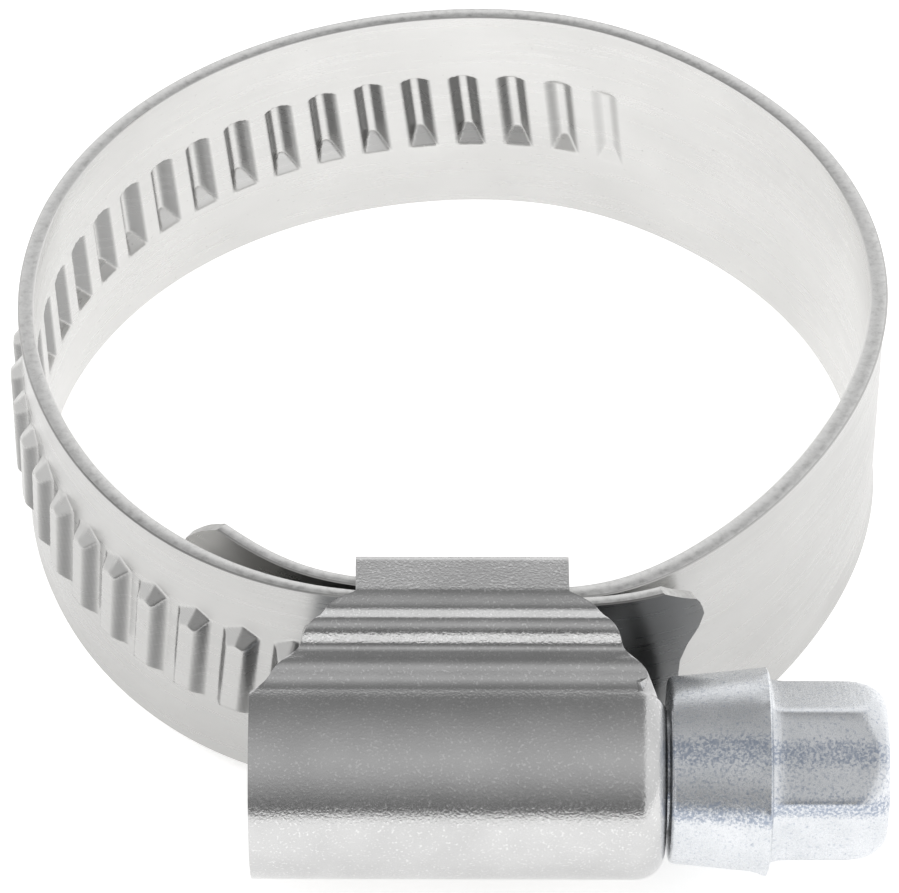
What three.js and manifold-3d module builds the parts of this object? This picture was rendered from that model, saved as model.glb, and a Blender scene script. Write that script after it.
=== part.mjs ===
import * as THREE from 'three';
import { mergeVertices } from 'three/addons/utils/BufferGeometryUtils.js';
import Module from 'manifold-3d';

// Worm-drive hose clamp, 12 mm embossed band, 7 mm hex screw. Millimetres.
// Origin at the centre of the hoop on the hose axis, +Z along the hose axis,
// screw axis along X with the hex head at +X, housing on the -Y side.

// ---- driving dimensions ----------------------------------------------------
const BAND_W = 11.5;            // flat width of the band
const BAND_T = 0.5;             // band sheet thickness
const LINK_STEPS = 8;           // centreline steps in one band link
const TONGUE_PIVOT = 9;         // centreline step where the hidden tongue bends away from the housing end
const FIRST_PIVOT = 16;         // centreline step where the housing end stops and the links start
const LINK_COUNT = 14;          // links between the housing end and the free tip, tip included
const FIRST_TOOTHED = 5;        // first link that carries embossed teeth
const PIVOT_GAP = 0.15;         // band left out each side of a pivot line
const TOOTH_PITCH = 2.3975;     // along the band
const TOOTH_LEAN = 0.112;       // slope of the teeth across the band
const TOOTH_H = 0.42;           // height of an embossed rib over the band's outer face
const TOOTH_Z0 = -2.1, TOOTH_Z1 = 3.4;
const POCKET_D = 0.33;          // depth of the hollow behind each rib
const POCKET_Z0 = -2.5, POCKET_Z1 = 2.9;
const SCREW_Y = -25.05, SCREW_Z = -0.4;   // screw axis
const THREAD_ROOT_R = 2.6, THREAD_R = 3.3;
const THREAD_X0 = -7.6, THREAD_X1 = 7.4;
const NECK_R = 2.6;
const COLLAR_R0 = 4.05, COLLAR_R1 = 4.45, COLLAR_X0 = 9.4, COLLAR_X1 = 13.75;
const HEX_AF = 7.0, HEX_X1 = 18.78, HEX_TURN_DEG = 53.5;
const SLOT_L = 4.6, SLOT_W = 1.1, SLOT_D = 1.5;
const SHEET = 0.6;              // housing sheet at the flange and tabs
const TAB_LEG = 0.48;            // tab leg that hooks behind the band
const FLANGE_Y = 21.92;         // outer face of the flange, distance from the hose axis
const TAB_Y = 18.6;             // hose side of the tabs, distance from the hose axis
const TAB_Z = 6.4;              // half height over the tabs
const DOME_R = 4.75, DOME_BORE_R = 3.95;
const DOME_X0 = -8.6, DOME_X1 = 9.2, DOME_END_FILLET = 1.2, NECK_HOLE_R = 2.95;
const TAB_X0 = -4.1, TAB_X1 = 5.1;
const FLANGE_X0 = -5.3, FLANGE_X1 = 6.1;

// Mid-surface of the band seen along the hose axis, from the hidden tongue end
// round the hoop and over the tongue again to the free tip, equal arc steps.
const CENTRELINE = [
  [-12.783, -14.374], [-11.707, -14.900], [-10.751, -15.621], [-9.869, -16.432], [-8.983, -17.240], [-8.050, -17.992],
  [-7.045, -18.644], [-5.964, -19.161], [-4.825, -19.530], [-3.652, -19.773], [-2.463, -19.930], [-1.270, -20.042],
  [-0.075, -20.142], [1.119, -20.242], [2.315, -20.329], [3.513, -20.374], [4.710, -20.334], [5.896, -20.164],
  [7.049, -19.837], [8.146, -19.356], [9.178, -18.748], [10.149, -18.045], [11.067, -17.275], [11.939, -16.453],
  [12.767, -15.586], [13.553, -14.681], [14.297, -13.741], [14.998, -12.769], [15.655, -11.766], [16.269, -10.737],
  [16.836, -9.681], [17.356, -8.601], [17.826, -7.498], [18.244, -6.375], [18.607, -5.233], [18.913, -4.074],
  [19.160, -2.901], [19.345, -1.716], [19.468, -0.524], [19.525, 0.673], [19.518, 1.872], [19.445, 3.068],
  [19.306, 4.259], [19.101, 5.439], [18.830, 6.607], [18.494, 7.758], [18.092, 8.887], [17.626, 9.991],
  [17.095, 11.065], [16.500, 12.106], [15.844, 13.109], [15.129, 14.071], [14.359, 14.990], [13.538, 15.863],
  [12.672, 16.691], [11.764, 17.474], [10.817, 18.208], [9.830, 18.889], [8.803, 19.507], [7.735, 20.051],
  [6.627, 20.507], [5.484, 20.867], [4.314, 21.128], [3.128, 21.295], [1.932, 21.373], [0.733, 21.371],
  [-0.463, 21.293], [-1.652, 21.145], [-2.831, 20.929], [-3.996, 20.646], [-5.143, 20.299], [-6.269, 19.888],
  [-7.370, 19.413], [-8.441, 18.876], [-9.480, 18.277], [-10.482, 17.620], [-11.444, 16.905], [-12.363, 16.135],
  [-13.235, 15.313], [-14.058, 14.442], [-14.829, 13.525], [-15.546, 12.564], [-16.206, 11.563], [-16.808, 10.527],
  [-17.350, 9.458], [-17.831, 8.360], [-18.250, 7.237], [-18.607, 6.093], [-18.901, 4.931], [-19.132, 3.755],
  [-19.301, 2.568], [-19.408, 1.374], [-19.453, 0.176], [-19.437, -1.022], [-19.361, -2.218], [-19.225, -3.409],
  [-19.030, -4.592], [-18.776, -5.763], [-18.465, -6.921], [-18.096, -8.061], [-17.670, -9.182], [-17.187, -10.279],
  [-16.647, -11.349], [-16.050, -12.388], [-15.396, -13.392], [-14.684, -14.356], [-13.914, -15.275], [-13.087, -16.143],
  [-12.204, -16.953], [-11.266, -17.699], [-10.276, -18.374], [-9.237, -18.972], [-8.154, -19.484], [-7.031, -19.905],
  [-5.877, -20.228], [-4.701, -20.456], [-3.511, -20.604], [-2.316, -20.697], [-1.119, -20.760], [0.078, -20.815],
  [1.276, -20.872], [2.473, -20.930], [3.671, -20.977], [4.869, -20.990], [6.067, -20.937], [7.255, -20.783],
  [8.419, -20.499], [9.540, -20.075], [10.603, -19.524], [11.617, -18.885],
];

// ---- helpers ---------------------------------------------------------------
const wasm = await Module();
wasm.setup();

function solid(geometry) {
  geometry.deleteAttribute('normal');
  geometry.deleteAttribute('uv');
  const g = mergeVertices(geometry, 1e-4);
  return new wasm.Manifold(new wasm.Mesh({
    numProp: 3,
    vertProperties: new Float32Array(g.attributes.position.array),
    triVerts: new Uint32Array(g.index.array),
  }));
}

function geometryOf(manifold) {
  const m = manifold.getMesh();
  const g = new THREE.BufferGeometry();
  g.setAttribute('position', new THREE.BufferAttribute(new Float32Array(m.vertProperties), 3));
  g.setIndex(new THREE.BufferAttribute(new Uint32Array(m.triVerts), 1));
  g.computeVertexNormals();
  return g;
}

function shapeOf(points) {
  return new THREE.Shape(points.map((p) => new THREE.Vector2(p[0], p[1])));
}

// outline in the XY plane pushed along Z
function prismZ(points, z0, z1) {
  const g = new THREE.ExtrudeGeometry(shapeOf(points), { depth: z1 - z0, bevelEnabled: false, steps: 1 });
  g.translate(0, 0, z0);
  return g;
}

// outline given as [y, z] pushed along X
function prismX(points, x0, x1) {
  const g = new THREE.ExtrudeGeometry(shapeOf(points), { depth: x1 - x0, bevelEnabled: false, steps: 1 });
  g.applyMatrix4(new THREE.Matrix4().set(0, 0, 1, x0, 1, 0, 0, 0, 0, 1, 0, 0, 0, 0, 0, 1));
  return g;
}

// outline given as [x, z] pushed along Y
function prismY(points, y0, y1) {
  const g = new THREE.ExtrudeGeometry(shapeOf(points), { depth: y1 - y0, bevelEnabled: false, steps: 1 });
  g.rotateX(Math.PI / 2);
  g.translate(0, y1, 0);
  return g;
}

// closed profile of [radius, x] turned about the screw axis
function turned(profile, segments) {
  const pts = profile.map((p) => new THREE.Vector2(p[0], p[1]));
  const g = new THREE.LatheGeometry(pts, segments);
  g.rotateZ(-Math.PI / 2);
  g.translate(0, SCREW_Y, SCREW_Z);
  return g;
}

function material(color, roughness, metalness) {
  return new THREE.MeshStandardMaterial({ color, roughness, metalness, flatShading: true });
}

const root = new THREE.Group();
root.name = 'hose_clamp';

function addMesh(name, manifold, mat) {
  const mesh = new THREE.Mesh(geometryOf(manifold), mat);
  mesh.name = name;
  root.add(mesh);
}

const bandSteel = () => material(0xc3c4c2, 0.34, 0.85);
const housingSteel = () => material(0xbdbdb9, 0.38, 0.85);
const screwZinc = () => material(0xb4b6b4, 0.42, 0.8);

// ---- band ------------------------------------------------------------------
function pointAt(step) {
  const i = Math.max(0, Math.min(CENTRELINE.length - 2, Math.floor(step)));
  const f = step - i;
  const a = CENTRELINE[i], b = CENTRELINE[i + 1];
  return [a[0] + (b[0] - a[0]) * f, a[1] + (b[1] - a[1]) * f];
}

function tangentAt(step) {
  const h = 0.5;
  const a = pointAt(Math.max(0, step - h)), b = pointAt(Math.min(CENTRELINE.length - 1, step + h));
  const l = Math.hypot(b[0] - a[0], b[1] - a[1]);
  return [(b[0] - a[0]) / l, (b[1] - a[1]) / l];
}

const STEP = TOOTH_PITCH / 2;     // length of one centreline step

// band between two centreline steps, cut square to its own centreline
function bandStrip(step0, step1) {
  const steps = [step0];
  for (let k = Math.floor(step0) + 1; k < step1 - 1e-6; k++) if (k > step0 + 1e-6) steps.push(k);
  steps.push(step1);
  const outer = [], inner = [];
  for (const k of steps) {
    const p = pointAt(k), t = tangentAt(k);
    const n = [t[1], -t[0]];
    outer.push([p[0] + n[0] * BAND_T / 2, p[1] + n[1] * BAND_T / 2]);
    inner.push([p[0] - n[0] * BAND_T / 2, p[1] - n[1] * BAND_T / 2]);
  }
  return solid(prismZ(outer.concat(inner.reverse()), -BAND_W / 2, BAND_W / 2));
}

// six-sided block standing on the band: along = half lengths at foot and top,
// z spans at foot and top, heights over the mid-surface
function bandBlock(step, footHalf, topHalf, footZ, topZ, h0, h1) {
  const p = pointAt(step), t = tangentAt(step);
  const n = [t[1], -t[0]];
  const g = new THREE.BoxGeometry(2, 2, 2);
  const pos = g.attributes.position;
  for (let i = 0; i < pos.count; i++) {
    const top = pos.getY(i) * Math.sign(h1 - h0) > 0;
    const half = top ? topHalf : footHalf;
    const zs = top ? topZ : footZ;
    const z = pos.getZ(i) > 0 ? zs[1] : zs[0];
    const u = pos.getX(i) * half + z * TOOTH_LEAN;
    const h = pos.getY(i) > 0 ? Math.max(h0, h1) : Math.min(h0, h1);
    pos.setXYZ(i, p[0] + t[0] * u + n[0] * h, p[1] + t[1] * u + n[1] * h, z);
  }
  // along, outward and z make a left-handed set, so the triangles are turned over
  const idx = g.index.array;
  for (let i = 0; i < idx.length; i += 3) { const q = idx[i]; idx[i] = idx[i + 1]; idx[i + 1] = q; }
  return solid(g);
}

function toothGrade(k) {
  return k >= 5 ? 1 : [0, 0.35, 0.5, 0.68, 0.85][k];
}

function toothedLink(link, first) {
  const s0 = FIRST_PIVOT + link * LINK_STEPS;
  let m = bandStrip(s0 + PIVOT_GAP / STEP, s0 + LINK_STEPS - PIVOT_GAP / STEP);
  for (let j = 0; j < LINK_STEPS / 2; j++) {
    const grade = toothGrade((link - first) * LINK_STEPS / 2 + j);
    if (grade === 0) continue;                           // the first place is left plain
    const at = s0 + 1 + 2 * j;
    m = m.add(bandBlock(at, 0.75, 0.36, [TOOTH_Z0, TOOTH_Z1], [TOOTH_Z0 + 0.5, TOOTH_Z1 - 0.45],
      BAND_T / 2 - 0.12, BAND_T / 2 + TOOTH_H * grade));
    m = m.subtract(bandBlock(at, 0.56, 0.36, [POCKET_Z0, POCKET_Z1], [POCKET_Z0 + 0.4, POCKET_Z1 - 0.4],
      -BAND_T / 2 - 0.08, -BAND_T / 2 + POCKET_D * grade));
  }
  return m;
}

// end of the band under the housing, with its rounded tongue
const H = BAND_W / 2;
const TONGUE_OUTLINE = [[-9.9, H], [-10.6, 5.3], [-11.3, 4.6], [-11.75, 3.7], [-11.95, 2.4], [-12.0, 1.0],
  [-12.0, -1.0], [-11.95, -2.4], [-11.75, -3.7], [-11.3, -4.6], [-10.6, -5.3], [-9.9, -H], [30, -H], [30, H]];
addMesh('band_tongue', bandStrip(0, TONGUE_PIVOT - PIVOT_GAP / STEP)
  .intersect(solid(prismY(TONGUE_OUTLINE, -30, 0))), bandSteel());
addMesh('band_fixed_end', bandStrip(TONGUE_PIVOT + PIVOT_GAP / STEP, FIRST_PIVOT - PIVOT_GAP / STEP), bandSteel());

for (let link = 0; link < LINK_COUNT - 1; link++) {
  const s0 = FIRST_PIVOT + link * LINK_STEPS;
  if (link < FIRST_TOOTHED) {
    addMesh('band_plain_' + String(link + 1).padStart(2, '0'),
      bandStrip(s0 + PIVOT_GAP / STEP, s0 + LINK_STEPS - PIVOT_GAP / STEP), bandSteel());
  } else {
    addMesh('band_toothed_' + String(link - FIRST_TOOTHED + 1).padStart(2, '0'), toothedLink(link, FIRST_TOOTHED), bandSteel());
  }
}

// free tip, cut to a shallow fishtail with rounded lobes
const TIP_OUTLINE = [[-30, H], [9.05, H], [9.7, 5.2], [10.5, 4.8], [10.85, 4.2], [10.9, 3.6], [10.75, 3.1], [10.4, 2.6],
  [10.1, 2.0], [9.9, 1.3], [9.85, 0.4], [9.85, -0.4], [9.9, -1.3], [10.1, -2.0], [10.4, -2.6], [10.75, -3.1],
  [10.9, -3.6], [10.85, -4.2], [10.5, -4.8], [9.7, -5.2], [9.05, -H], [-30, -H]];
const tipStart = FIRST_PIVOT + (LINK_COUNT - 1) * LINK_STEPS;
const tip = bandStrip(tipStart + PIVOT_GAP / STEP, CENTRELINE.length - 1)
  .intersect(solid(prismY(TIP_OUTLINE, -30, 0)));
addMesh('band_free_tip', tip, bandSteel());

// ---- housing: one folded sheet -----------------------------------------------
function arc(cy, cz, r, a0, a1, n) {
  const out = [];
  for (let i = 0; i <= n; i++) {
    const a = (a0 + (a1 - a0) * i / n) * Math.PI / 180;
    out.push([cy + r * Math.cos(a), cz + r * Math.sin(a)]);
  }
  return out;
}

const D = -SCREW_Y;               // distances below are measured out from the hose axis
const FI = FLANGE_Y - SHEET;      // inner face of the flange
const outerFace = [
  [TAB_Y, 4.4], ...arc(TAB_Y + 0.5, TAB_Z - 0.5, 0.5, 180, 90, 3),
  ...arc(FLANGE_Y - 0.65, TAB_Z - 0.65, 0.65, 90, 0, 4),
  [FLANGE_Y, 5.15], [22.12, 4.92], [22.3, 4.55], [22.62, 4.38],
  ...arc(D, SCREW_Z, DOME_R, 90, -90, 24),
  [22.62, -5.14], [22.32, -5.25], [22.1, -5.48],
  ...arc(FLANGE_Y - 0.65, -TAB_Z + 0.65, 0.65, 0, -90, 4),
  ...arc(TAB_Y + 0.5, -TAB_Z + 0.5, 0.5, -90, -180, 3), [TAB_Y, -4.4],
];
const innerFace = [
  [TAB_Y + TAB_LEG, -4.4], [TAB_Y + TAB_LEG, -TAB_Z + SHEET], [FI, -TAB_Z + SHEET],
  [FI, -5.2], [21.5, -4.8], [22.0, -4.5], [22.62, -4.37],
  ...arc(D, SCREW_Z, DOME_BORE_R, -90, 90, 24),
  [22.62, 3.57], [22.0, 3.7], [21.5, 4.05], [FI, 4.5],
  [FI, TAB_Z - SHEET], [TAB_Y + TAB_LEG, TAB_Z - SHEET], [TAB_Y + TAB_LEG, 4.4],
];
const section = outerFace.concat(innerFace).map((p) => [-p[0], p[1]]);
const filletX = DOME_X1 - DOME_END_FILLET;
const endCapProfile = [[DOME_R, filletX - 0.1]];
for (let i = 0; i <= 6; i++) {
  const a = i * 15 * Math.PI / 180;
  endCapProfile.push([DOME_R - DOME_END_FILLET + DOME_END_FILLET * Math.cos(a), filletX + DOME_END_FILLET * Math.sin(a)]);
}
endCapProfile.push([NECK_HOLE_R, DOME_X1], [NECK_HOLE_R, DOME_X1 - 0.65], [DOME_BORE_R - 0.45, DOME_X1 - 0.75],
  [DOME_BORE_R, DOME_X1 - 1.2], [DOME_BORE_R, filletX - 0.1], [DOME_R, filletX - 0.1]);
// plan outline: narrow tabs, wider flange, slanted edges out to the dome
const PLAN = [
  [TAB_X0, -18], [TAB_X0, -(FLANGE_Y - 0.62)], [FLANGE_X0, -(FLANGE_Y - 0.45)], [FLANGE_X0, -FLANGE_Y], [DOME_X0, -25.0],
  [DOME_X0, -31], [DOME_X1 + 1, -31], [DOME_X1 + 1, -25.0], [DOME_X1, -25.0], [FLANGE_X1, -FLANGE_Y],
  [FLANGE_X1, -(FLANGE_Y - 0.45)], [TAB_X1, -(FLANGE_Y - 0.62)], [TAB_X1, -18],
];
const endCap = solid(turned(endCapProfile, 48)).intersect(solid(prismZ([[0, -24.2], [0, -31], [12, -31], [12, -24.2]], -10, 10)));
const housing = solid(prismX(section, DOME_X0, filletX)).add(endCap)
  .intersect(solid(prismZ(PLAN, -10, 10)));
addMesh('housing', housing, housingSteel());

// ---- worm screw --------------------------------------------------------------
function thread() {
  const len = THREAD_X1 - THREAD_X0;
  const g = new THREE.CylinderGeometry(1, 1, len, 24, 44);
  g.rotateZ(-Math.PI / 2);
  g.translate((THREAD_X0 + THREAD_X1) / 2, 0, 0);
  const pos = g.attributes.position;
  for (let i = 0; i < pos.count; i++) {
    const x = pos.getX(i), y = pos.getY(i), z = pos.getZ(i);
    if (Math.hypot(y, z) < 0.5) continue;
    const turn = Math.atan2(z, y) / (2 * Math.PI);
    let f = x / TOOTH_PITCH - turn + 0.5;
    f -= Math.floor(f);
    const d = Math.abs(f - 0.5) * 2;                       // 0 at the root, 1 at the crest
    const ridge = Math.max(0, Math.min(1, (d - 0.34) / 0.34));
    const end = Math.max(0, Math.min(1, (x - THREAD_X0) / 0.9, (THREAD_X1 - x) / 0.9));
    const r = THREAD_ROOT_R + (THREAD_R - THREAD_ROOT_R) * ridge * end;
    pos.setXYZ(i, x, y * r, z * r);
  }
  g.translate(0, SCREW_Y, SCREW_Z);
  return solid(g);
}

const hexPoints = [];
for (let i = 0; i < 6; i++) {
  const a = (HEX_TURN_DEG + 30 + 60 * i) * Math.PI / 180;
  const r = HEX_AF / 2 / Math.cos(Math.PI / 6);
  hexPoints.push([SCREW_Y - r * Math.cos(a), SCREW_Z + r * Math.sin(a)]);
}
hexPoints.reverse();
const hexCone = solid(turned([[0, 13], [4.3, 13], [4.3, HEX_X1 - 0.62], [3.35, HEX_X1], [0, HEX_X1]], 48));
const hex = solid(prismX(hexPoints, COLLAR_X1 - 0.2, HEX_X1)).intersect(hexCone);
const collar = solid(turned([[0, COLLAR_X0], [COLLAR_R0 - 0.2, COLLAR_X0], [COLLAR_R0, COLLAR_X0 + 0.2],
  [COLLAR_R1, COLLAR_X1 - 0.2], [COLLAR_R1 - 0.15, COLLAR_X1], [0, COLLAR_X1]], 48));
const neck = solid(turned([[0, THREAD_X1 - 0.3], [NECK_R, THREAD_X1 - 0.3], [NECK_R, COLLAR_X0 + 0.2], [0, COLLAR_X0 + 0.2]], 24));
const slot = new THREE.BoxGeometry(SLOT_D * 2, SLOT_W, SLOT_L);
slot.rotateX((HEX_TURN_DEG - 90) * -Math.PI / 180);
slot.translate(HEX_X1, SCREW_Y, SCREW_Z);
const screw = thread().add(neck).add(collar).add(hex).subtract(solid(slot));
addMesh('worm_screw', screw, screwZinc());

export default root;
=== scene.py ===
import math

import bmesh
import bpy
import numpy as np
from mathutils import Matrix, Vector


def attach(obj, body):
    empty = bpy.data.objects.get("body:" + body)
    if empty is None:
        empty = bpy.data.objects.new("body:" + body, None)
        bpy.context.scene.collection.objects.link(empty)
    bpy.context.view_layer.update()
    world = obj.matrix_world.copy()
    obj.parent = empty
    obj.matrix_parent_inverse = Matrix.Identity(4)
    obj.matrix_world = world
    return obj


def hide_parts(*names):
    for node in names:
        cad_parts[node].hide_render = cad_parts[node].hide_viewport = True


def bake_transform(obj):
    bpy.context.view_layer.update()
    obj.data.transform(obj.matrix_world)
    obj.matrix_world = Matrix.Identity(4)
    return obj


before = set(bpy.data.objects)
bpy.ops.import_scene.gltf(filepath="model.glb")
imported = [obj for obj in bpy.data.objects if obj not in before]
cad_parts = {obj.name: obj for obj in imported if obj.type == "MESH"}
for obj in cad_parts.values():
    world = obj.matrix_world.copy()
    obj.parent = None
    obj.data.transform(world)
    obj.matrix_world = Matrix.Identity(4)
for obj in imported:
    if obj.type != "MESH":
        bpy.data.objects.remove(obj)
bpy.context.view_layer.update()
MM = 0.001

# ---------------------------------------------------------------- band centreline
CENTRELINE = np.array([
    (-12.783, -14.374), (-11.707, -14.900), (-10.751, -15.621), (-9.869, -16.432), (-8.983, -17.240), (-8.050, -17.992),
    (-7.045, -18.644), (-5.964, -19.161), (-4.825, -19.530), (-3.652, -19.773), (-2.463, -19.930), (-1.270, -20.042),
    (-0.075, -20.142), (1.119, -20.242), (2.315, -20.329), (3.513, -20.374), (4.710, -20.334), (5.896, -20.164),
    (7.049, -19.837), (8.146, -19.356), (9.178, -18.748), (10.149, -18.045), (11.067, -17.275), (11.939, -16.453),
    (12.767, -15.586), (13.553, -14.681), (14.297, -13.741), (14.998, -12.769), (15.655, -11.766), (16.269, -10.737),
    (16.836, -9.681), (17.356, -8.601), (17.826, -7.498), (18.244, -6.375), (18.607, -5.233), (18.913, -4.074),
    (19.160, -2.901), (19.345, -1.716), (19.468, -0.524), (19.525, 0.673), (19.518, 1.872), (19.445, 3.068),
    (19.306, 4.259), (19.101, 5.439), (18.830, 6.607), (18.494, 7.758), (18.092, 8.887), (17.626, 9.991),
    (17.095, 11.065), (16.500, 12.106), (15.844, 13.109), (15.129, 14.071), (14.359, 14.990), (13.538, 15.863),
    (12.672, 16.691), (11.764, 17.474), (10.817, 18.208), (9.830, 18.889), (8.803, 19.507), (7.735, 20.051),
    (6.627, 20.507), (5.484, 20.867), (4.314, 21.128), (3.128, 21.295), (1.932, 21.373), (0.733, 21.371),
    (-0.463, 21.293), (-1.652, 21.145), (-2.831, 20.929), (-3.996, 20.646), (-5.143, 20.299), (-6.269, 19.888),
    (-7.370, 19.413), (-8.441, 18.876), (-9.480, 18.277), (-10.482, 17.620), (-11.444, 16.905), (-12.363, 16.135),
    (-13.235, 15.313), (-14.058, 14.442), (-14.829, 13.525), (-15.546, 12.564), (-16.206, 11.563), (-16.808, 10.527),
    (-17.350, 9.458), (-17.831, 8.360), (-18.250, 7.237), (-18.607, 6.093), (-18.901, 4.931), (-19.132, 3.755),
    (-19.301, 2.568), (-19.408, 1.374), (-19.453, 0.176), (-19.437, -1.022), (-19.361, -2.218), (-19.225, -3.409),
    (-19.030, -4.592), (-18.776, -5.763), (-18.465, -6.921), (-18.096, -8.061), (-17.670, -9.182), (-17.187, -10.279),
    (-16.647, -11.349), (-16.050, -12.388), (-15.396, -13.392), (-14.684, -14.356), (-13.914, -15.275), (-13.087, -16.143),
    (-12.204, -16.953), (-11.266, -17.699), (-10.276, -18.374), (-9.237, -18.972), (-8.154, -19.484), (-7.031, -19.905),
    (-5.877, -20.228), (-4.701, -20.456), (-3.511, -20.604), (-2.316, -20.697), (-1.119, -20.760), (0.078, -20.815),
    (1.276, -20.872), (2.473, -20.930), (3.671, -20.977), (4.869, -20.990), (6.067, -20.937), (7.255, -20.783),
    (8.419, -20.499), (9.540, -20.075), (10.603, -19.524), (11.617, -18.885),
])
TOOTH_PITCH = 2.3975
STEP = TOOTH_PITCH / 2.0            # arc step of the table, mm
FIRST_PIVOT_S = 16 * STEP
LINK = 8 * STEP
LINKS = 14
HALF_W = 5.78
SHEET = 0.58
TOOTH_LEAN = 0.112
FIRST_TOOTH_S = FIRST_PIVOT_S + 5 * LINK + 3 * STEP
LAST_TOOTH_S = FIRST_PIVOT_S + 13 * LINK + STEP * 1.01
S_END = 153.95


def spline(values):
    """Natural cubic spline through values at unit steps: returns f(t) and f'(t)."""
    n = len(values)
    a = np.zeros((n, n))
    r = np.zeros(n)
    a[0, 0] = a[-1, -1] = 1.0
    for i in range(1, n - 1):
        a[i, i - 1 : i + 2] = (1.0, 4.0, 1.0)
        r[i] = 6.0 * (values[i + 1] - 2 * values[i] + values[i - 1])
    m = np.linalg.solve(a, r)

    def f(t):
        t = np.asarray(t, float)
        i = np.clip(np.floor(t).astype(int), 0, n - 2)
        u = t - i
        v = 1 - u
        y = v * values[i] + u * values[i + 1] + ((v**3 - v) * m[i] + (u**3 - u) * m[i + 1]) / 6
        d = values[i + 1] - values[i] + (-(3 * v**2 - 1) * m[i] + (3 * u**2 - 1) * m[i + 1]) / 6
        return y, d

    return f


SX, SY = spline(CENTRELINE[:, 0]), spline(CENTRELINE[:, 1])


def centre(s):
    """Mid-surface point, tangent and outward normal in the XY plane at arc length s, mm."""
    x, dx = SX(s / STEP)
    y, dy = SY(s / STEP)
    l = np.hypot(dx, dy)
    tx, ty = dx / l, dy / l
    return x, y, tx, ty


def smooth(a, b, x):
    t = np.clip((x - a) / (b - a), 0.0, 1.0)
    return t * t * (3 - 2 * t)


# the strip stands a little off its centreline round the hoop, and thickens at the rim
RUN_S = [16.0, 21.5, 36.0, 46.0, 76.0, 104.0, 119.0, 130.0, 137.5]
RUN_MID = [0.0, 0.17, 0.19, 0.30, 0.32, 0.33, 0.09, 0.05, 0.0]
RUN_RIM = [0.29, 0.43, 0.43, 0.41, 0.41, 0.38, 0.38, 0.37, 0.29]


def tooth_grade(k):
    """How deep tooth k is, from the first faint one on."""
    return np.interp(k, [0, 1, 2, 3], [0.3, 0.55, 0.8, 1.0])


def tooth_local(s, z):
    """Nearest tooth: signed distance along the band from its centre line, and its grade."""
    q = (s - TOOTH_LEAN * z - FIRST_TOOTH_S) / TOOTH_PITCH
    k = np.clip(np.round(q), 0, round((LAST_TOOTH_S - FIRST_TOOTH_S) / TOOTH_PITCH))
    return (q - k) * TOOTH_PITCH, tooth_grade(k)


def recess(s, z):
    """Depth of the hollow on the hose side."""
    u, g = tooth_local(s, z)
    groove = 1 - smooth(0.10, 0.80, np.abs(u))
    ramp_low = np.clip((z + 2.25) / 0.95, 0.0, 1.0)
    ramp_top = np.clip((2.1 - 0.25 * (u / 0.8) ** 2 - z) / 0.38, 0.0, 1.0)
    return 0.64 * g * np.minimum(groove, np.minimum(ramp_low, ramp_top))


def rib(s, z):
    """Height of the pressed ridge on the outside."""
    u, g = tooth_local(s, z)
    across = 1 - smooth(0.34, 0.92, np.abs(u))
    low = np.clip((z + 2.5) / 0.5, 0.0, 1.0)
    top = np.clip((2.75 - 0.5 * np.abs(u) - z) / 0.75, 0.0, 1.0)
    return 0.62 * g * np.minimum(across, np.minimum(low, top))


def strip_mid(s):
    return np.interp(s, RUN_S, RUN_MID)


def rim_offset(z, s, side):
    """How far a face of the sheet leaves its plane near the rim."""
    e = np.clip((np.abs(z) - 4.6) / (HALF_W - 4.6), 0, 1) ** 1.7
    return side * e * (np.interp(s, RUN_S, RUN_RIM) - 0.29)


TIP_Z = np.array([0.0, 0.4, 1.45, 2.3, 2.8, 3.4, 3.9, 4.8, 5.2, 5.78])
TIP_X = np.array([9.83, 9.85, 9.9, 10.2, 10.5, 10.85, 10.9, 10.6, 9.95, 9.1])
TONGUE_Z = np.array([0.0, 2.0, 3.5, 4.3, 5.1, 5.78])
TONGUE_X = np.array([-12.0, -11.97, -11.9, -11.5, -10.8, -10.05])
_ss = np.linspace(146.8, S_END, 400)
_sx = centre(_ss)[0]
_ts = np.linspace(0.0, 6.9, 300)
_tx = centre(_ts)[0]


def tip_end(z):
    return np.interp(np.interp(np.abs(z), TIP_Z, TIP_X), _sx, _ss)


def tongue_start(z):
    return np.interp(np.interp(np.abs(z), TONGUE_Z, TONGUE_X), _tx, _ts)


def z_rows(toothed):
    if toothed:
        a = np.concatenate([
            np.linspace(-HALF_W + 0.05, -4.7, 6), np.linspace(-4.4, -2.9, 4), np.linspace(-2.7, -1.1, 16),
            np.linspace(-0.8, 1.4, 7), np.linspace(1.6, 3.1, 18), np.linspace(3.8, 4.6, 3), np.linspace(4.85, HALF_W - 0.05, 6)])
    else:
        a = np.concatenate([np.linspace(-HALF_W + 0.05, -4.7, 6), np.linspace(-4.2, 4.2, 9), np.linspace(4.7, HALF_W - 0.05, 6)])
    return a


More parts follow.
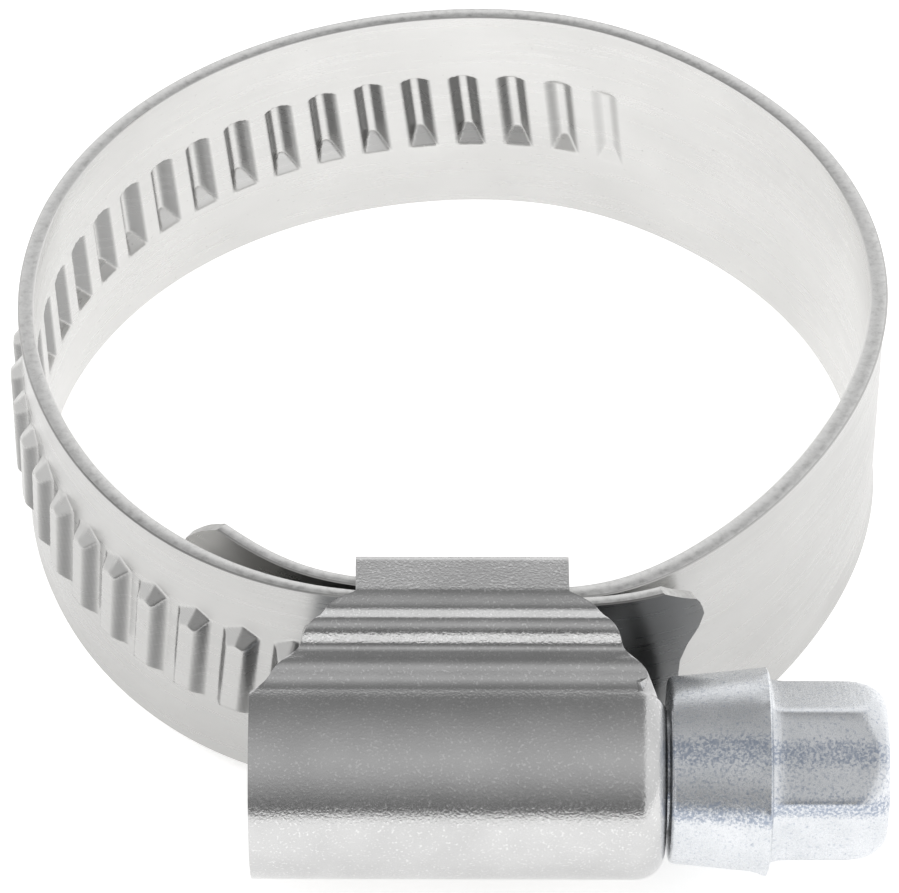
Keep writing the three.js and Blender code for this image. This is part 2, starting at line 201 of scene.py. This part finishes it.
def band_mesh(name, s0, s1, ds, toothed, start_fn=None, end_fn=None):
    """Closed sheet section grid between two arc lengths; ends that meet another piece stay open."""
    zr = z_rows(toothed)
    nz = len(zr)
    cols = max(2, int(math.ceil((s1 - s0) / ds)) + 1)
    a = np.linspace(0, 1, cols)[:, None]
    # ring: inner face up, rim, outer face down, rim
    c = 0.08
    ring_z = np.concatenate([zr, [HALF_W, HALF_W], zr[::-1], [-HALF_W, -HALF_W]])
    side = np.concatenate([-np.ones(nz), [-1, 1], np.ones(nz), [1, -1]])
    inset = np.concatenate([np.zeros(nz), [c, c], np.zeros(nz), [c, c]])
    zz = ring_z[None, :]
    lo = np.full(zz.shape, s0) if start_fn is None else start_fn(zz)
    hi = np.full(zz.shape, s1) if end_fn is None else end_fn(zz)
    s = lo + (hi - lo) * a
    z = np.broadcast_to(zz, s.shape)
    off = side * (SHEET / 2 - inset)
    off = np.broadcast_to(off[None, :], s.shape).copy()
    off += rim_offset(z, s, side[None, :]) + strip_mid(s)
    if toothed:
        sd = side[None, :]
        fade = smooth(HALF_W, HALF_W - 1.0, np.abs(z))
        off += np.where(sd < 0, recess(s, z), rib(s, z)) * fade
    x, y, tx, ty = centre(s)
    px, py = x + ty * off, y - tx * off
    # painted shade: the slope of each tooth wall, inside and out, is stored so the steep walls can be darkened in the
    # colour
    steep_shade = np.zeros(s.shape)
    if toothed:
        e = 0.06
        inner = np.abs(recess(s + e, z) - recess(s - e, z)) / (2 * e)
        outer = np.abs(rib(s + e, z) - rib(s - e, z)) / (2 * e)
        steep_shade = np.clip(np.where(side[None, :] < 0, inner, 0.6 * outer), 0, 1)
    n = s.shape[1]
    verts = np.stack([px, py, z], -1).reshape(-1, 3) * MM
    faces = []
    for i in range(cols - 1):
        for j in range(n):
            k = (j + 1) % n
            faces.append((i * n + j, i * n + k, (i + 1) * n + k, (i + 1) * n + j))
    me = bpy.data.meshes.new(name)
    extra = []

    def cap(col, flip):
        # sheet edge: join the inner row to the outer row
        base = col * n
        for j in range(nz + 1):
            ja, jb = j, j + 1                       # inner side going up
            oa, ob = 2 * nz + 2 - j, 2 * nz + 1 - j  # matching outer side
            q = (base + ja % n, base + jb % n, base + ob % n, base + oa % n)
            extra.append(q[::-1] if flip else q)

    def cap_full(col, flip):
        base = col * n
        pairs = [(2 * nz + 3, 2 * nz + 2)] + [(j, 2 * nz + 1 - j) for j in range(nz)] + [(nz, nz + 1)]
        for (i0, o0), (i1, o1) in zip(pairs[:-1], pairs[1:]):
            q = (base + i0, base + i1, base + o1, base + o0)
            extra.append(q[::-1] if flip else q)

    if start_fn is not None:
        cap_full(0, False)
    if end_fn is not None:
        cap_full(cols - 1, True)
    me.from_pydata(verts.tolist(), [], faces + extra)
    uv = me.uv_layers.new(name="strip")
    sv, zv = s.reshape(-1), z.reshape(-1)
    loops = np.empty(len(me.loops), int)
    me.loops.foreach_get("vertex_index", loops)
    uvs = np.stack([sv[loops] * MM, zv[loops] * MM], -1)
    uv.data.foreach_set("uv", uvs.reshape(-1))
    wall = me.uv_layers.new(name="wall")
    wv = steep_shade.reshape(-1)[loops]
    wall.data.foreach_set("uv", np.stack([wv, np.zeros_like(wv)], -1).reshape(-1))
    # a fixed face order gives faces pointing out of the sheet; check one and flip if needed
    bm = bmesh.new()
    bm.from_mesh(me)
    bm.faces.ensure_lookup_table()
    f = bm.faces[nz // 2]                            # a face of the hose side
    mid = f.calc_center_median()
    if f.normal.x * mid.x + f.normal.y * mid.y > 0 and s0 > 20:
        bmesh.ops.reverse_faces(bm, faces=bm.faces[:])
    elif s0 <= 20 and f.normal.y < 0:
        bmesh.ops.reverse_faces(bm, faces=bm.faces[:])
    bm.to_mesh(me)
    bm.free()
    me.polygons.foreach_set("use_smooth", [True] * len(me.polygons))
    me.set_sharp_from_angle(angle=math.radians(38))
    ob = bpy.data.objects.new(name, me)
    ob["toothed"] = bool(toothed)
    bpy.context.scene.collection.objects.link(ob)
    return ob


# ---------------------------------------------------------------- materials
def nodes_of(mat):
    mat.use_nodes = True
    nt = mat.node_tree
    nt.nodes.clear()
    return nt


def link(nt, a, b):
    nt.links.new(a, b)


def ramp(nt, src, stops):
    r = nt.nodes.new("ShaderNodeValToRGB")
    e = r.color_ramp.elements
    e[0].position, e[0].color = stops[0][0], (*stops[0][1], 1)
    e[1].position, e[1].color = stops[-1][0], (*stops[-1][1], 1)
    for p, c in stops[1:-1]:
        n = e.new(p)
        n.color = (*c, 1)
    link(nt, src, r.inputs["Fac"])
    return r.outputs["Color"]


def maprange(nt, src, lo, hi, a, b):
    m = nt.nodes.new("ShaderNodeMapRange")
    m.inputs["From Min"].default_value = lo
    m.inputs["From Max"].default_value = hi
    m.inputs["To Min"].default_value = a
    m.inputs["To Max"].default_value = b
    link(nt, src, m.inputs["Value"])
    return m.outputs["Result"]


def noise(nt, vec, scale, detail=2.0, rough=0.5, distortion=0.0):
    n = nt.nodes.new("ShaderNodeTexNoise")
    n.inputs["Scale"].default_value = scale
    n.inputs["Detail"].default_value = detail
    n.inputs["Roughness"].default_value = rough
    n.inputs["Distortion"].default_value = distortion
    link(nt, vec, n.inputs["Vector"])
    return n.outputs["Fac"]


def mapping(nt, vec, scale):
    m = nt.nodes.new("ShaderNodeMapping")
    m.inputs["Scale"].default_value = scale
    link(nt, vec, m.inputs["Vector"])
    return m.outputs["Vector"]


def bump(nt, height, strength, distance, normal=None):
    b = nt.nodes.new("ShaderNodeBump")
    b.inputs["Strength"].default_value = strength
    b.inputs["Distance"].default_value = distance
    link(nt, height, b.inputs["Height"])
    if normal is not None:
        link(nt, normal, b.inputs["Normal"])
    return b.outputs["Normal"]


def mixcol(nt, fac, a, b):
    m = nt.nodes.new("ShaderNodeMix")
    m.data_type = "RGBA"
    link(nt, fac, m.inputs["Factor"])
    for sock, v in ((m.inputs[6], a), (m.inputs[7], b)):
        if isinstance(v, tuple):
            sock.default_value = (*v, 1)
        else:
            link(nt, v, sock)
    return m.outputs[2]


def band_material(name, tone):
    mat = bpy.data.materials.new(name)
    nt = nodes_of(mat)
    out = nt.nodes.new("ShaderNodeOutputMaterial")
    p = nt.nodes.new("ShaderNodeBsdfPrincipled")
    link(nt, p.outputs[0], out.inputs[0])
    uv = nt.nodes.new("ShaderNodeUVMap")
    uv.uv_map = "strip"
    v = uv.outputs["UV"]
    streak = noise(nt, mapping(nt, v, (120, 3500, 1)), 1.0, 3.0, 0.6)
    cloud = noise(nt, mapping(nt, v, (160, 240, 1)), 1.0, 3.0, 0.5)
    speck = noise(nt, mapping(nt, v, (3500, 5200, 1)), 1.0, 2.0, 0.6)
    base = ramp(nt, cloud, [(0.3, (tone, tone * 0.995, tone * 0.98)), (0.7, (tone * 1.08, tone * 1.075, tone * 1.06))])
    dark = maprange(nt, speck, 0.68, 0.76, 0.0, 0.35)
    face = mixcol(nt, dark, base, (tone * 0.5, tone * 0.49, tone * 0.48))
    # painted shade: steep tooth walls are darkened towards 0.36 of the tone
    wall = nt.nodes.new("ShaderNodeUVMap")
    wall.uv_map = "wall"
    ws = nt.nodes.new("ShaderNodeSeparateXYZ")
    link(nt, wall.outputs["UV"], ws.inputs[0])
    link(nt, mixcol(nt, maprange(nt, ws.outputs["X"], 0.1, 0.95, 0.0, 0.8), face, (tone * 0.36, tone * 0.36, tone * 0.36)), p.inputs["Base Color"])
    p.inputs["Metallic"].default_value = 1.0
    link(nt, maprange(nt, streak, 0.3, 0.7, 0.24, 0.36), p.inputs["Roughness"])
    n1 = bump(nt, streak, 0.05, 0.00002)
    n2 = bump(nt, speck, 0.03, 0.00002, n1)
    link(nt, n2, p.inputs["Normal"])
    return mat


def edge_material():
    mat = bpy.data.materials.new("band_cut_edge")
    nt = nodes_of(mat)
    out = nt.nodes.new("ShaderNodeOutputMaterial")
    p = nt.nodes.new("ShaderNodeBsdfPrincipled")
    link(nt, p.outputs[0], out.inputs[0])
    v = nt.nodes.new("ShaderNodeTexCoord").outputs["Object"]
    streak = noise(nt, mapping(nt, v, (2600, 2600, 9000)), 1.0, 4.0, 0.65)
    base = ramp(nt, streak, [(0.3, (0.56, 0.558, 0.55)), (0.5, (0.72, 0.718, 0.71)), (0.72, (0.82, 0.818, 0.81))])
    link(nt, base, p.inputs["Base Color"])
    p.inputs["Metallic"].default_value = 1.0
    link(nt, maprange(nt, streak, 0.3, 0.7, 0.34, 0.5), p.inputs["Roughness"])
    link(nt, bump(nt, streak, 0.22, 0.00003), p.inputs["Normal"])
    return mat


def housing_material():
    mat = bpy.data.materials.new("housing_pressed_steel")
    nt = nodes_of(mat)
    out = nt.nodes.new("ShaderNodeOutputMaterial")
    p = nt.nodes.new("ShaderNodeBsdfPrincipled")
    link(nt, p.outputs[0], out.inputs[0])
    tc = nt.nodes.new("ShaderNodeTexCoord")
    v = tc.outputs["Object"]
    grain = noise(nt, v, 9000.0, 2.0, 0.6)
    fleck = noise(nt, v, 8500.0, 1.0, 0.5)
    cloud = noise(nt, v, 420.0, 3.0, 0.5)
    base = ramp(nt, cloud, [(0.3, (0.54, 0.54, 0.54)), (0.7, (0.60, 0.60, 0.60))])
    glint = maprange(nt, fleck, 0.60, 0.72, 0.0, 0.4)
    link(nt, mixcol(nt, glint, base, (0.92, 0.92, 0.92)), p.inputs["Base Color"])
    p.inputs["Metallic"].default_value = 1.0
    link(nt, maprange(nt, grain, 0.3, 0.7, 0.15, 0.25), p.inputs["Roughness"])
    n1 = bump(nt, grain, 0.2, 0.00003)
    n2 = bump(nt, fleck, 0.25, 0.00003, n1)
    link(nt, n2, p.inputs["Normal"])
    return mat


def screw_material():
    mat = bpy.data.materials.new("screw_zinc")
    nt = nodes_of(mat)
    out = nt.nodes.new("ShaderNodeOutputMaterial")
    p = nt.nodes.new("ShaderNodeBsdfPrincipled")
    link(nt, p.outputs[0], out.inputs[0])
    tc = nt.nodes.new("ShaderNodeTexCoord")
    v = tc.outputs["Object"]
    # turning marks run round the axis, so the pattern is fine along X and long across it
    turn = noise(nt, mapping(nt, v, (4200, 320, 320)), 1.0, 4.0, 0.6)
    pits = noise(nt, v, 7500.0, 4.0, 0.7)
    cloud = noise(nt, v, 700.0, 3.0, 0.6)
    base = ramp(nt, cloud, [(0.3, (0.66, 0.68, 0.705)), (0.7, (0.74, 0.755, 0.78))])
    # worn zinc: darker blue spots gather in two bands round the turned faces
    sep = nt.nodes.new("ShaderNodeSeparateXYZ")
    link(nt, v, sep.inputs[0])
    ny = nt.nodes.new("ShaderNodeMath")
    ny.operation = "MULTIPLY_ADD"
    ny.inputs[1].default_value, ny.inputs[2].default_value = -1.0, -0.02505
    link(nt, sep.outputs["Y"], ny.inputs[0])
    nz = nt.nodes.new("ShaderNodeMath")
    nz.operation = "ADD"
    nz.inputs[1].default_value = 0.0004
    link(nt, sep.outputs["Z"], nz.inputs[0])
    ang = nt.nodes.new("ShaderNodeMath")
    ang.operation = "ARCTAN2"
    link(nt, ny.outputs[0], ang.inputs[0])
    link(nt, nz.outputs[0], ang.inputs[1])
    part = maprange(nt, ang.outputs[0], 0.0, math.pi / 2, 0.0, 1.0)
    band = ramp(nt, part, [(0.0, (0.1,) * 3), (0.24, (0.15,) * 3), (0.32, (1,) * 3), (0.42, (0.9,) * 3), (0.52, (0.25,) * 3),
                           (0.68, (0.35,) * 3), (0.76, (1,) * 3), (0.83, (1,) * 3), (0.9, (0.0,) * 3)])
    add = nt.nodes.new("ShaderNodeMath")
    add.operation = "MULTIPLY_ADD"
    add.inputs[1].default_value = 0.17
    link(nt, band, add.inputs[0])
    link(nt, pits, add.inputs[2])
    spot = maprange(nt, add.outputs[0], 0.56, 0.74, 0.0, 0.8)
    link(nt, mixcol(nt, spot, base, (0.24, 0.29, 0.39)), p.inputs["Base Color"])
    p.inputs["Metallic"].default_value = 0.85
    link(nt, maprange(nt, pits, 0.3, 0.7, 0.2, 0.36), p.inputs["Roughness"])
    n1 = bump(nt, turn, 0.22, 0.00006)
    n2 = bump(nt, pits, 0.22, 0.00004, n1)
    link(nt, n2, p.inputs["Normal"])
    return mat


# one steel in three tones: the outside copy at 0.50 is painted shade, and the copy at 0.25 for the outer faces of the
# tongue and free tip is painted shadow
BAND_IN, BAND_OUT_SHADED, BAND_END_SHADOWED = band_material("band_inside", 0.67), band_material("band_outside_shaded", 0.50), band_material("band_ends_shadowed", 0.25)
EDGE, HOUSE, ZINC = edge_material(), housing_material(), screw_material()

# ---------------------------------------------------------------- band pieces
NODE_OF = ["band_plain_%02d" % (i + 1) for i in range(5)] + ["band_toothed_%02d" % (i + 1) for i in range(8)] + ["band_free_tip"]


def dress_band(ob):
    me = ob.data
    me.materials.append(BAND_IN)
    me.materials.append(EDGE)
    # painted shade: outer faces get a darkened copy, with the darkest copy on the tongue and free tip
    me.materials.append(BAND_END_SHADOWED if ob.name in ("band_tongue", "band_strip_14") else BAND_OUT_SHADED)
    lim = (HALF_W - 0.03) * MM
    ring = 2 * len(z_rows(ob["toothed"])) + 4
    half = ring // 2
    for p in me.polygons:
        zs = [me.vertices[v].co.z for v in p.vertices]
        if min(zs) > lim or max(zs) < -lim:
            p.material_index = 1
        elif len({v // ring for v in p.vertices}) == 1:
            p.material_index = 1                     # cut end of the sheet
        elif min(v % ring for v in p.vertices) >= half - 1:
            p.material_index = 2


def section_point(s):
    x, y, _, _ = centre(np.array(s))
    return (float(x) * MM, float(y) * MM, 0.0)


s_cut = [FIRST_PIVOT_S - LINK / 2] + [FIRST_PIVOT_S + LINK / 2 + LINK * i for i in range(LINKS)]
TONGUE_END_S = 11.0 * STEP
tongue = band_mesh("band_tongue", 0.0, TONGUE_END_S, 0.3, False, start_fn=tongue_start)
dress_band(tongue)
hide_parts("band_tongue")
section_point(7.0 * STEP)
section_point(11.0 * STEP)
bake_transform(tongue)
seat = band_mesh("band_seat", TONGUE_END_S, s_cut[0], 0.3, False)
dress_band(seat)
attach(seat, "clamp_body")
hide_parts("band_fixed_end")
for i in range(LINKS):
    s0, s1 = s_cut[i], s_cut[i + 1]
    toothed = s1 > FIRST_TOOTH_S - 1.5
    last = i == LINKS - 1
    ob = band_mesh("band_strip_%02d" % (i + 1), s0, S_END if last else s1, 0.1 if toothed else 0.4, toothed,
                   end_fn=tip_end if last else None)
    dress_band(ob)
    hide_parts(NODE_OF[i])
    section_point(s0)
    section_point(s1)
    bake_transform(ob)

# ---------------------------------------------------------------- housing
AX_Y, AX_Z = 25.05, -0.4
FLANGE = 21.92
TAB_Y, TAB_Z = 18.6, 6.4
DOME_R = 4.75
H_SHEET = 0.6


def arc_pts(cy, cz, r, a0, a1, n):
    t = np.radians(np.linspace(a0, a1, n + 1))
    return [(cy + r * math.cos(a), cz + r * math.sin(a)) for a in t]


def bezier(p0, p1, p2, p3, n):
    out = []
    for i in range(1, n):
        t = i / n
        b = [(1 - t) ** 3 * p0[k] + 3 * (1 - t) ** 2 * t * p1[k] + 3 * (1 - t) * t * t * p2[k] + t**3 * p3[k] for k in (0, 1)]
        out.append(tuple(b))
    return out


def resample(points, step):
    p = np.array(points)
    d = np.r_[0, np.cumsum(np.hypot(*np.diff(p, axis=0).T))]
    n = max(2, int(round(d[-1] / step)))
    q = np.linspace(0, d[-1], n + 1)
    return np.stack([np.interp(q, d, p[:, 0]), np.interp(q, d, p[:, 1])], 1)


upper = [(TAB_Y, 4.4)] + arc_pts(TAB_Y + 0.4, TAB_Z - 0.4, 0.4, 180, 90, 8) + [(20.9, TAB_Z - 0.01)]
upper += bezier((20.9, 6.39), (21.35, 6.37), (21.45, 6.12), (21.75, 6.10), 14)
upper += bezier((21.75, 6.10), (22.15, 6.08), (22.3, 6.24), (22.6, 6.18), 14)
upper += bezier((22.6, 6.18), (23.15, 6.02), (22.95, 5.10), (23.35, 5.03), 18)
upper += bezier((23.35, 5.03), (23.75, 4.99), (23.95, 5.04), (24.15, 4.88), 12)
upper += bezier((24.15, 4.88), (24.4, 4.66), (24.45, 4.37), (AX_Y - 0.08, 4.349), 12)
dome = arc_pts(AX_Y, AX_Z, DOME_R, 91, -96, 64)
lower = [(FLANGE + 1.1, -5.08), (FLANGE + 0.6, -5.12), (FLANGE + 0.35, -5.3), (FLANGE + 0.1, -5.5)]
lower += arc_pts(FLANGE - 0.62, -TAB_Z + 0.62, 0.62, -8, -90, 10) + arc_pts(TAB_Y + 0.5, -TAB_Z + 0.5, 0.5, -90, -180, 8) + [(TAB_Y, -4.4)]
outline = np.array(upper + dome + lower)
seg = np.hypot(*np.diff(outline, axis=0).T)
outline = outline[np.r_[True, seg > 1e-4]]
outline = resample(outline, 0.11)


def plan_limits(y, z):
    """x limits of the sheet at a point of its section, outer surface, mm."""
    ky = [18.0, 21.0, 21.3, 21.6, 22.3, 25.2, 31.0]
    left = np.interp(y, ky, [-4.15, -4.1, -4.8, -5.3, -5.6, -8.6, -8.6])
    right = np.interp(y, ky, [5.1, 5.1, 5.7, 6.2, 6.6, 9.25, 9.25])
    return left, right


def housing_piece():
    ncol = 118
    n = len(outline)
    lip = 16
    verts = []
    for y, z in outline:
        xl, xr = plan_limits(y, z)
        w = smooth(24.2, 25.2, np.array(y)) if True else 0
        w = float(w)
        # body of the sheet
        xs = np.linspace(xl, xr - 1.25 * w, ncol)
        row = [(x, y, z) for x in xs]
        # rounded end: the dome turns in towards the neck
        dy, dz = y - AX_Y, z - AX_Z
        r = math.hypot(dy, dz)
        for k in range(1, lip + 1):
            t = k / lip
            if t < 0.7:
                a = t / 0.7 * math.pi / 2
                rr = r - 1.2 * (1 - math.cos(a)) * w
                x = xr - 1.25 * w + 1.25 * w * math.sin(a)
            else:
                rr = r - (1.2 + (t - 0.7) / 0.3 * 0.55) * w
                x = xr
            if w < 0.02:
                x, rr = xr + 1e-4 * k, r
            row.append((x, AX_Y + dy / r * rr, AX_Z + dz / r * rr))
        verts += row
    m = ncol + lip
    faces = [(i * m + j, i * m + j + 1, (i + 1) * m + j + 1, (i + 1) * m + j) for i in range(n - 1) for j in range(m - 1)]
    me = bpy.data.meshes.new("housing_sheet")
    me.from_pydata([(x * MM, -y * MM, z * MM) for x, y, z in verts], [], faces)
    me.validate()
    bm = bmesh.new()
    bm.from_mesh(me)
    bmesh.ops.remove_doubles(bm, verts=bm.verts[:], dist=2e-6)
    bmesh.ops.recalc_face_normals(bm, faces=bm.faces[:])
    bm.faces.ensure_lookup_table()
    top = max(bm.faces, key=lambda f: -f.calc_center_median().y)
    if top.normal.y > 0:
        bmesh.ops.reverse_faces(bm, faces=bm.faces[:])
    bm.to_mesh(me)
    bm.free()
    ob = bpy.data.objects.new("housing_sheet", me)
    bpy.context.scene.collection.objects.link(ob)
    so = ob.modifiers.new("sheet", "SOLIDIFY")
    so.thickness = H_SHEET * MM
    so.offset = -1.0
    so.use_even_offset = False
    be = ob.modifiers.new("edge", "BEVEL")
    be.width = 0.1 * MM
    be.segments = 2
    be.limit_method = "ANGLE"
    be.angle_limit = math.radians(50)
    dg = bpy.context.evaluated_depsgraph_get()
    new = bpy.data.meshes.new_from_object(ob.evaluated_get(dg))
    ob.modifiers.clear()
    ob.data = new
    new.polygons.foreach_set("use_smooth", [True] * len(new.polygons))
    new.set_sharp_from_angle(angle=math.radians(70))
    new.materials.clear()
    new.materials.append(HOUSE)
    return ob


house = housing_piece()
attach(house, "clamp_body")
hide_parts("housing")

# ---------------------------------------------------------------- worm screw
PITCH = TOOTH_PITCH


def screw_piece():
    na = 168
    th = np.linspace(0, 2 * math.pi, na, endpoint=False)
    hex_turn = math.radians(126.5)
    xs = np.concatenate([
        [-7.6, -7.58, -7.5], np.arange(-7.4, 7.41, 0.11), [7.5, 7.6, 8.2, 8.9, 9.38, 9.39, 9.4, 9.43, 9.5, 9.6, 9.75, 10.0],
        np.arange(10.3, 13.2, 0.3), [13.3, 13.45, 13.55, 13.62, 13.68, 13.74, 13.76, 13.78, 13.8, 13.85, 13.95, 14.1],
        np.arange(14.3, 18.0, 0.22), [17.95, 18.1, 18.2, 18.3, 18.4, 18.5, 18.58, 18.65, 18.71, 18.76, 18.78]])
    rows = []

    def radius(x):
        if x <= 7.6:
            f = (x / PITCH - th / (2 * math.pi) + 0.5) % 1.0
            d = np.abs(f - 0.5) * 2
            ridge = smooth(0.30, 0.66, d)
            e = min(1.0, max(0.0, (x + 7.6) / 1.2), max(0.0, (7.6 - x) / 1.0))
            return 2.55 + (3.32 - 2.55) * ridge * e
        if x < 9.395:
            return np.full(na, 2.6)
        if x <= 13.745:
            base = np.interp(x, [9.4, 9.43, 9.5, 9.6, 9.75, 10.2, 12.9, 13.45, 13.62, 13.7, 13.745],
                             [3.82, 3.92, 4.01, 4.05, 4.07, 4.1, 4.37, 4.48, 4.5, 4.42, 4.25])
            burr = 0.035 * np.sin(5 * th + 0.6) + 0.03 * np.sin(11 * th + 2.0) + 0.02 * np.sin(23 * th)
            k = smooth(13.1, 13.6, np.array(x))
            return base + burr * k
        # hex: rounded corners, then a domed crown
        a = (th - hex_turn + math.pi / 6) % (math.pi / 3) - math.pi / 6
        flat = 3.5 / np.cos(a)
        round_r = 3.93
        k = 0.07
        hexr = -k * np.log(np.exp(-flat / k) + np.exp(-round_r / k))
        crown = np.interp(x, [13.7, 16.9, 17.5, 18.0, 18.35, 18.6, 18.72, 18.78], [4.3, 4.06, 3.93, 3.75, 3.54, 3.33, 3.18, 3.02])
        k2 = 0.06
        r = -k2 * np.log(np.exp(-hexr / k2) + np.exp(-crown / k2))
        foot = np.interp(x, [13.76, 13.85, 14.1, 14.4], [0.16, 0.09, 0.03, 0.0])
        return r + foot

    for x in xs:
        r = radius(float(x))
        rows.append(np.stack([np.full(na, x), -AX_Y + r * np.cos(th), AX_Z + r * np.sin(th)], -1))
    v = np.concatenate(rows) * MM
    faces = []
    for i in range(len(xs) - 1):
        for j in range(na):
            k = (j + 1) % na
            faces.append((i * na + j, i * na + k, (i + 1) * na + k, (i + 1) * na + j))
    faces.append(tuple(range(na))[::-1])
    faces.append(tuple((len(xs) - 1) * na + j for j in range(na)))
    me = bpy.data.meshes.new("worm_screw_body")
    me.from_pydata(v.tolist(), [], faces)
    bm = bmesh.new()
    bm.from_mesh(me)
    bmesh.ops.recalc_face_normals(bm, faces=bm.faces[:])
    bm.to_mesh(me)
    bm.free()
    ob = bpy.data.objects.new("worm_screw_body", me)
    bpy.context.scene.collection.objects.link(ob)
    # slot in the end face
    cm = bpy.data.meshes.new("slot_cut")
    b2 = bmesh.new()
    bmesh.ops.create_cube(b2, size=1.0)
    ang = math.radians(53.5 - 90)
    for q in b2.verts:
        x, y, z = q.co.x * 3.0, q.co.y * 1.1, q.co.z * 4.6
        q.co = ((18.78 + x) * MM, (-AX_Y + y * math.cos(-ang) - z * math.sin(-ang)) * MM, (AX_Z + y * math.sin(-ang) + z * math.cos(-ang)) * MM)
    b2.to_mesh(cm)
    b2.free()
    cut = bpy.data.objects.new("slot_cut", cm)
    bpy.context.scene.collection.objects.link(cut)
    mod = ob.modifiers.new("slot", "BOOLEAN")
    mod.operation = "DIFFERENCE"
    mod.solver = "EXACT"
    mod.object = cut
    dg = bpy.context.evaluated_depsgraph_get()
    new = bpy.data.meshes.new_from_object(ob.evaluated_get(dg))
    ob.modifiers.clear()
    ob.data = new
    bpy.data.objects.remove(cut)
    new.polygons.foreach_set("use_smooth", [True] * len(new.polygons))
    new.set_sharp_from_angle(angle=math.radians(40))
    new.materials.clear()
    new.materials.append(ZINC)
    return ob


screw = screw_piece()
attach(screw, "screw")
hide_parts("worm_screw")

# ---------------------------------------------------------------- floor, world, light, camera
bm = bmesh.new()
for q in ((-0.7, -0.135), (0.7, -0.135), (0.7, 1.2), (-0.7, 1.2)):
    bm.verts.new((q[0], q[1], -0.0064))
bm.faces.new(bm.verts)
fm = bpy.data.meshes.new("floor")
bm.to_mesh(fm)
bm.free()
floor = bpy.data.objects.new("floor", fm)
bpy.context.scene.collection.objects.link(floor)
fmat = bpy.data.materials.new("floor_white")
nt = nodes_of(fmat)
o = nt.nodes.new("ShaderNodeOutputMaterial")
p = nt.nodes.new("ShaderNodeBsdfPrincipled")
p.inputs["Base Color"].default_value = (0.8, 0.8, 0.8, 1)
p.inputs["Roughness"].default_value = 1.0
p.inputs["Specular IOR Level"].default_value = 0.0
p.inputs["Emission Color"].default_value = (1.0, 0.995, 0.985, 1)
p.inputs["Emission Strength"].default_value = 0.58
link(nt, p.outputs[0], o.inputs[0])
fm.materials.append(fmat)

world = bpy.data.worlds.new("studio")
bpy.context.scene.world = world
nt = nodes_of(world)
o = nt.nodes.new("ShaderNodeOutputWorld")
bg = nt.nodes.new("ShaderNodeBackground")
tc = nt.nodes.new("ShaderNodeTexCoord")
sep = nt.nodes.new("ShaderNodeSeparateXYZ")
link(nt, tc.outputs["Generated"], sep.inputs[0])
neg = nt.nodes.new("ShaderNodeMath")
neg.operation = "MULTIPLY"
neg.inputs[1].default_value = -1.0
link(nt, sep.outputs["Y"], neg.inputs[0])
at = nt.nodes.new("ShaderNodeMath")
at.operation = "ARCTAN2"
link(nt, sep.outputs["Z"], at.inputs[0])
link(nt, neg.outputs[0], at.inputs[1])
g = lambda v: (v, v, v)
# angle from the -Y horizon over the top to the +Y horizon, 0 to 180 degrees
psi = maprange(nt, at.outputs[0], 0.0, math.pi, 0.0, 1.0)
sky = ramp(nt, psi, [(0.0, g(0.16)), (0.03, g(0.18)), (0.11, g(0.33)), (0.20, g(0.50)), (0.30, g(0.58)), (0.40, g(0.50)),
                     (0.49, g(0.40)), (0.60, g(0.29)), (0.72, g(0.22)), (0.775, g(0.72)), (0.83, g(1.0)), (1.0, g(1.0))])
across = maprange(nt, sep.outputs["X"], -1.0, 1.0, 0.0, 1.0)
side = ramp(nt, across, [(0.075, g(1.0)), (0.19, g(0.0)), (0.665, g(0.0)), (0.725, g(0.85))])
col = mixcol(nt, side, sky, (0.98, 0.98, 0.98))
link(nt, col, bg.inputs["Color"])
bg.inputs["Strength"].default_value = 1.12
link(nt, bg.outputs[0], o.inputs[0])

lamp = bpy.data.lights.new("softbox", "AREA")
lamp.shape = "RECTANGLE"
lamp.size, lamp.size_y = 1.1, 0.9
lamp.energy = 3.0
lo = bpy.data.objects.new("softbox", lamp)
lo.location = (-0.08, 0.12, 0.8)
lo.rotation_euler = (Vector((0, 0, 0)) - Vector(lo.location)).to_track_quat("-Z", "Y").to_euler()
bpy.context.scene.collection.objects.link(lo)
lo.visible_glossy = False
lo.visible_camera = False

EL, ROLL, DIST = math.radians(41.3158), math.radians(0.136), 0.234463
target = Vector((-0.0000796, 0.0, -0.0038037))
fwd = Vector((0, math.cos(EL), -math.sin(EL)))
right = Vector((1, 0, 0))
up = right.cross(fwd)
r2 = right * math.cos(ROLL) + up * math.sin(ROLL)
u2 = -right * math.sin(ROLL) + up * math.cos(ROLL)
cam_data = bpy.data.cameras.new("camera")
cam_data.sensor_fit = "HORIZONTAL"
cam_data.sensor_width = 36.0
cam_data.lens = 4927.61 * 36.0 / 899.0
cam_data.clip_start, cam_data.clip_end = 0.005, 10.0
cam = bpy.data.objects.new("camera", cam_data)
cam.matrix_world = Matrix.Translation(target - fwd * DIST) @ Matrix((
    (r2.x, u2.x, -fwd.x, 0), (r2.y, u2.y, -fwd.y, 0), (r2.z, u2.z, -fwd.z, 0), (0, 0, 0, 1)))
bpy.context.scene.collection.objects.link(cam)
bpy.context.scene.camera = cam
bpy.context.scene.view_settings.view_transform = "Standard"
